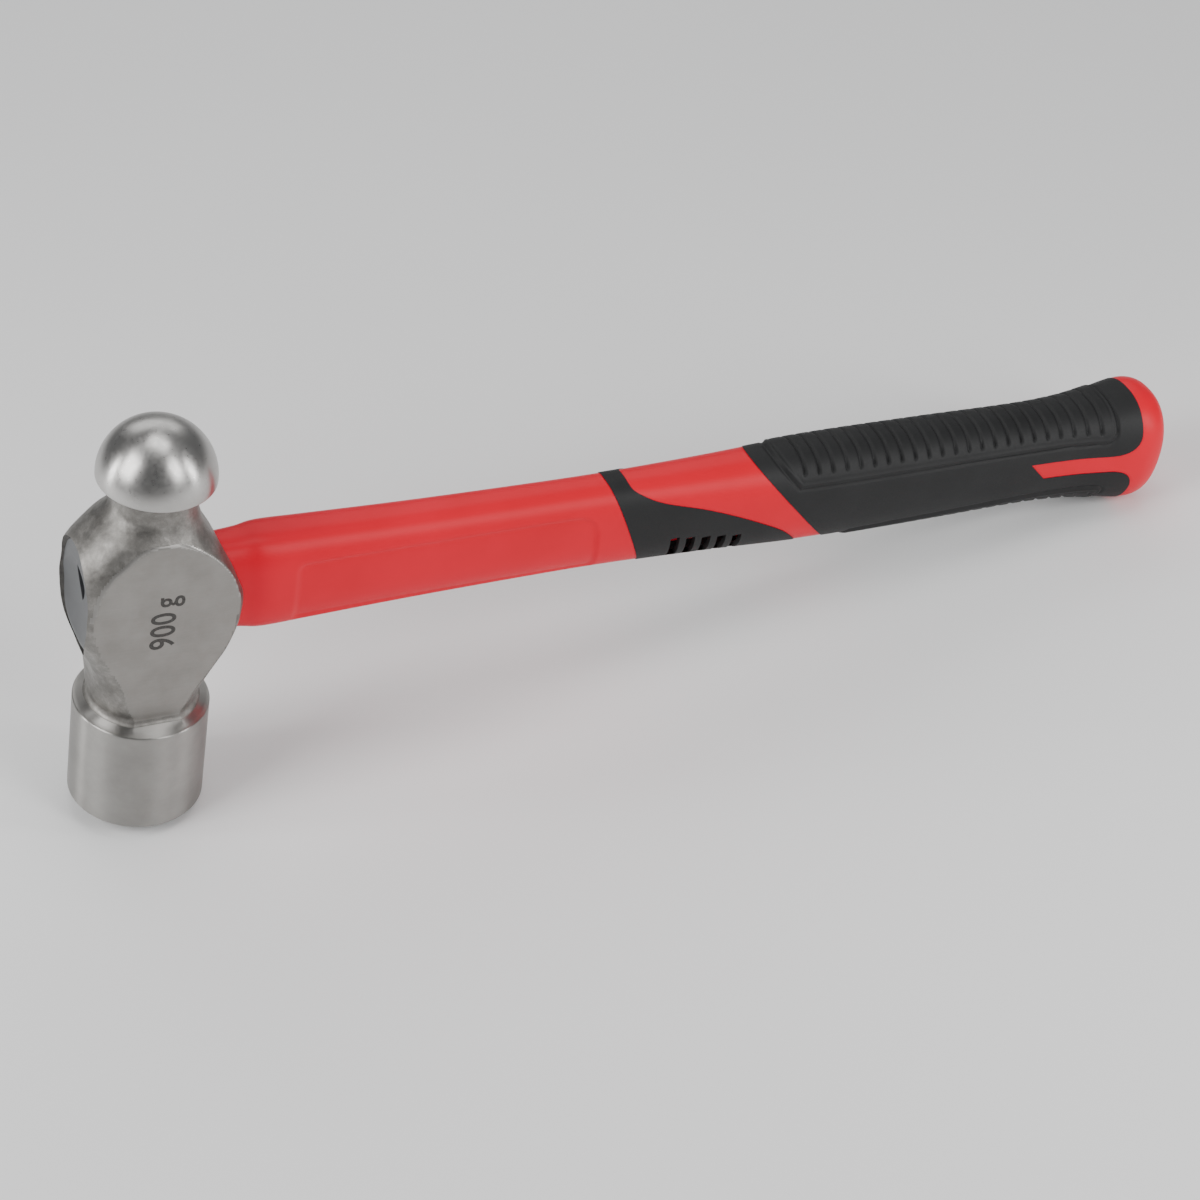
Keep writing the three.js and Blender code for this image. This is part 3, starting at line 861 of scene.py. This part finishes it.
def steel_forged():
    m = Material("steel_forged")
    scale = m.noise(260, 6, 0.65)
    worn = m.noise(150, 10, 0.8)
    dark = m.ramp(worn, [
        (0.36, (0.17, 0.163, 0.152)),
        (0.5, (0.235, 0.226, 0.212)),
        (0.66, (0.34, 0.328, 0.31)),
    ])
    rough = m.range(scale, 0.3, 0.7, 0.40, 0.58)
    m.set(Base_Color=dark, Metallic=1.0, Roughness=rough)
    coarse = m.bump(worn, 0.3, 0.0003)
    m.set(Normal=m.bump(scale, 0.8, 0.00016, coarse))
    return m.show()


def eye_painted_shade():
    """Painted shade inside the eye: a dark finish on the eye's walls that stands in for the shadow
    there.
    """
    m = Material("eye_painted_shade")
    scale = m.noise(500, 6, 0.65)
    colour = m.ramp(scale, [(0.35, (0.045, 0.043, 0.041)), (0.65, (0.10, 0.096, 0.09))])
    m.set(Base_Color=colour, Metallic=0.7, Roughness=m.range(scale, 0.3, 0.7, 0.5, 0.65))
    m.set(Normal=m.bump(scale, 0.6, 0.00015))
    return m.show()


def steel_ground():
    m = Material("steel_ground")
    lines = m.noise(1.0, 4, 0.7, m.stretched((90, 90, 3800)))
    cloud = m.noise(110, 5, 0.6)
    colour = m.ramp(cloud, [(0.3, (0.27, 0.26, 0.244)), (0.7, (0.325, 0.313, 0.296))])
    m.set(Base_Color=colour, Metallic=1.0, Roughness=m.range(lines, 0.3, 0.7, 0.38, 0.5))
    m.set(Normal=m.bump(lines, 0.5, 0.00005))
    return m.show()


def steel_turned():
    m = Material("steel_turned")
    rings = m.noise(1.0, 5, 0.7, m.stretched((18, 18, 4200)))
    cloud = m.noise(80, 4, 0.6)
    colour = m.ramp(cloud, [(0.3, (0.31, 0.30, 0.285)), (0.7, (0.385, 0.374, 0.357))])
    m.set(Base_Color=colour, Metallic=1.0, Roughness=m.range(rings, 0.3, 0.7, 0.3, 0.42))
    m.set(Normal=m.bump(rings, 0.3, 0.00004))
    m.around(0.9)
    return m.show()


def cast_resin():
    m = Material("cast_resin")
    cloud = m.noise(180, 4)
    colour = m.ramp(cloud, [(0.3, (0.055, 0.057, 0.060)), (0.7, (0.085, 0.088, 0.092))])
    m.set(Base_Color=colour, Roughness=m.range(cloud, 0.3, 0.7, 0.38, 0.5))
    m.set(Normal=m.bump(m.noise(420, 4), 0.2, 0.0001))
    return m.show()


def fibre_core():
    m = Material("fibre_core")
    strands = m.noise(1.0, 3, 0.6, m.stretched((60, 2600, 2600)))
    colour = m.ramp(strands, [(0.35, (0.010, 0.010, 0.010)), (0.7, (0.045, 0.040, 0.038))])
    m.set(Base_Color=colour, Roughness=0.6, Normal=m.bump(strands, 0.5, 0.0001))
    return m.show()


def red_plastic():
    m = Material("red_plastic")
    cloud = m.noise(40, 3)
    colour = m.ramp(cloud, [(0.3, (0.72, 0.0015, 0.019)), (0.7, (0.78, 0.002, 0.024))])
    grain = m.noise(2400, 3, 0.6)
    m.set(Base_Color=colour, Roughness=m.range(grain, 0.3, 0.7, 0.36, 0.46))
    m.set(Normal=m.bump(grain, 0.16, 0.00004))
    m.set(Specular_IOR_Level=0.22)
    return m.show()


def black_rubber():
    m = Material("black_rubber")
    cloud = m.noise(60, 3)
    colour = m.ramp(cloud, [(0.3, (0.0085, 0.0086, 0.0090)), (0.7, (0.0125, 0.0127, 0.0132))])
    grain = m.noise(3000, 3, 0.6)
    m.set(Base_Color=colour, Roughness=m.range(grain, 0.3, 0.7, 0.52, 0.66))
    m.set(Normal=m.bump(grain, 0.3, 0.00005), Specular_IOR_Level=0.35)
    return m.show()


def etched():
    m = Material("etched_mark")
    speck = m.noise(2600, 3)
    colour = m.ramp(speck, [(0.35, (0.035, 0.033, 0.031)), (0.7, (0.085, 0.080, 0.075))])
    m.set(Base_Color=colour, Metallic=0.3, Roughness=0.6)
    return m.show()


def pale_floor():
    m = Material("pale_floor")
    colour = m.ramp(m.noise(3, 2), [(0.3, (0.86, 0.86, 0.86)), (0.7, (0.885, 0.885, 0.885))])
    m.set(Base_Color=colour, Roughness=0.85)
    return m.show()


def assign_by_face(made, materials, choose):
    made.data.materials.clear()
    for material in materials:
        made.data.materials.append(material)
    for face in made.data.polygons:
        face.material_index = choose(face.center / MM, face.normal)


def finish_piece(made, material, nodes, sharp=34):
    if material is not None:
        made.data.materials.clear()
        made.data.materials.append(material)
    made.data.shade_smooth()
    made.data.set_sharp_from_angle(angle=math.radians(sharp))
    made.matrix_world = HAMMER
    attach(made, "root")
    if nodes:
        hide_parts(*nodes)


def hammer_frame():
    """Where the hammer's own axes stand, from the striking face's place and direction."""
    face = next(m for m in frame["record"]["mounts"] if m["name"] == "striking_face")
    up = -Vector(face["axis"]).normalized()
    across = Vector((0, 1, 0))
    along = across.cross(up)
    origin = Vector(face["pos_m"]) - up * POLL_FACE * MM
    turn = Matrix((along, across, up)).transposed().to_4x4()
    return Matrix.Translation(origin) @ turn


# ---------------------------------------------------------------- pieces

HAMMER = hammer_frame()
polished, forged, ground, turned = steel_polished(), steel_forged(), steel_ground(), steel_turned()
# Dark painted shade for the eye's inner walls, standing in for their shadow
eye_shade = eye_painted_shade()
rubber = black_rubber()

finish_piece(make_head(), None, ["hammer_head"])
finish_piece(make_resin(), cast_resin(), ["eye_resin"])
finish_piece(make_jacket(), red_plastic(), ["handle_jacket"])
finish_piece(make_collar(), rubber, ["front_collar"])
finish_piece(make_grip(), rubber, ["main_grip"], 50)
finish_piece(make_mark(), etched(), [])

core = frame["nodes"]["glass_fibre_core"]
core.data.materials.clear()
core.data.materials.append(fibre_core())


# ---------------------------------------------------------------- camera, floor and lights

def make_camera():
    right, forward = Vector(CAMERA_RIGHT).normalized(), Vector(CAMERA_FORWARD).normalized()
    up = right.cross(forward)
    turn = Matrix((right, up, -forward)).transposed().to_4x4()
    data = bpy.data.cameras.new("camera")
    data.sensor_width = CAMERA_SENSOR
    data.lens = CAMERA_LENS
    data.clip_start, data.clip_end = 0.01, 20
    camera = bpy.data.objects.new("camera", data)
    bpy.context.scene.collection.objects.link(camera)
    camera.matrix_world = HAMMER @ Matrix.Translation(Vector(CAMERA_PLACE) * MM) @ turn
    bpy.context.scene.camera = camera


def soft_box(name, place, aim, width, height, power):
    """A rectangular lamp turned to its aim, in metres and watts."""
    data = bpy.data.lights.new(name, "AREA")
    data.shape = "RECTANGLE"
    data.size, data.size_y = width, height
    data.energy = power
    lamp = bpy.data.objects.new(name, data)
    bpy.context.scene.collection.objects.link(lamp)
    lamp.location = place
    lamp.rotation_euler = (Vector(aim) - Vector(place)).to_track_quat("-Z", "Y").to_euler()


def make_floor():
    """The ground, a hair below the part."""
    mesh = bpy.data.meshes.new("floor")
    across = FLOOR_CELLS + 1
    steps = np.linspace(-FLOOR_HALF, FLOOR_HALF, across)
    points = [(x, y, 0) for y in steps for x in steps]
    corners = [r * across + c for r in range(FLOOR_CELLS) for c in range(FLOOR_CELLS)]
    quads = [(k, k + 1, k + 1 + across, k + across) for k in corners]
    mesh.from_pydata(points, [], quads)
    mesh.materials.append(pale_floor())
    floor = bpy.data.objects.new("floor", mesh)
    bpy.context.scene.collection.objects.link(floor)
    floor.location.z = cad_low.z - FLOOR_GAP


def make_world():
    world = bpy.data.worlds.new("studio")
    world.use_nodes = True
    shade = world.node_tree.nodes["Background"]
    shade.inputs["Color"].default_value = WORLD_COLOUR
    shade.inputs["Strength"].default_value = WORLD_STRENGTH
    bpy.context.scene.world = world


make_camera()
make_floor()
make_world()
soft_box("left", (-0.80, -0.10, 0.62), (-0.12, 0, 0.08), 0.42, 0.6, 5.2)
soft_box("right", (0.26, -0.68, 0.62), (-0.12, 0, 0.08), 0.26, 0.6, 3.4)
soft_box("strip_left", (-0.82, 0.22, 0.26), (-0.16, 0, 0.04), 0.1, 0.4, 1.5)
soft_box("strip_right", (0.46, -0.4, 0.28), (-0.16, 0, 0.04), 0.1, 0.4, 1.5)
soft_box("back", (0.3, 1.1, 0.9), (0.05, 0, 0.05), 1.5, 0.7, 5.0)
soft_box("top", (0.15, 0.1, 1.6), (0.05, 0, 0), 1.0, 0.6, 7.0)
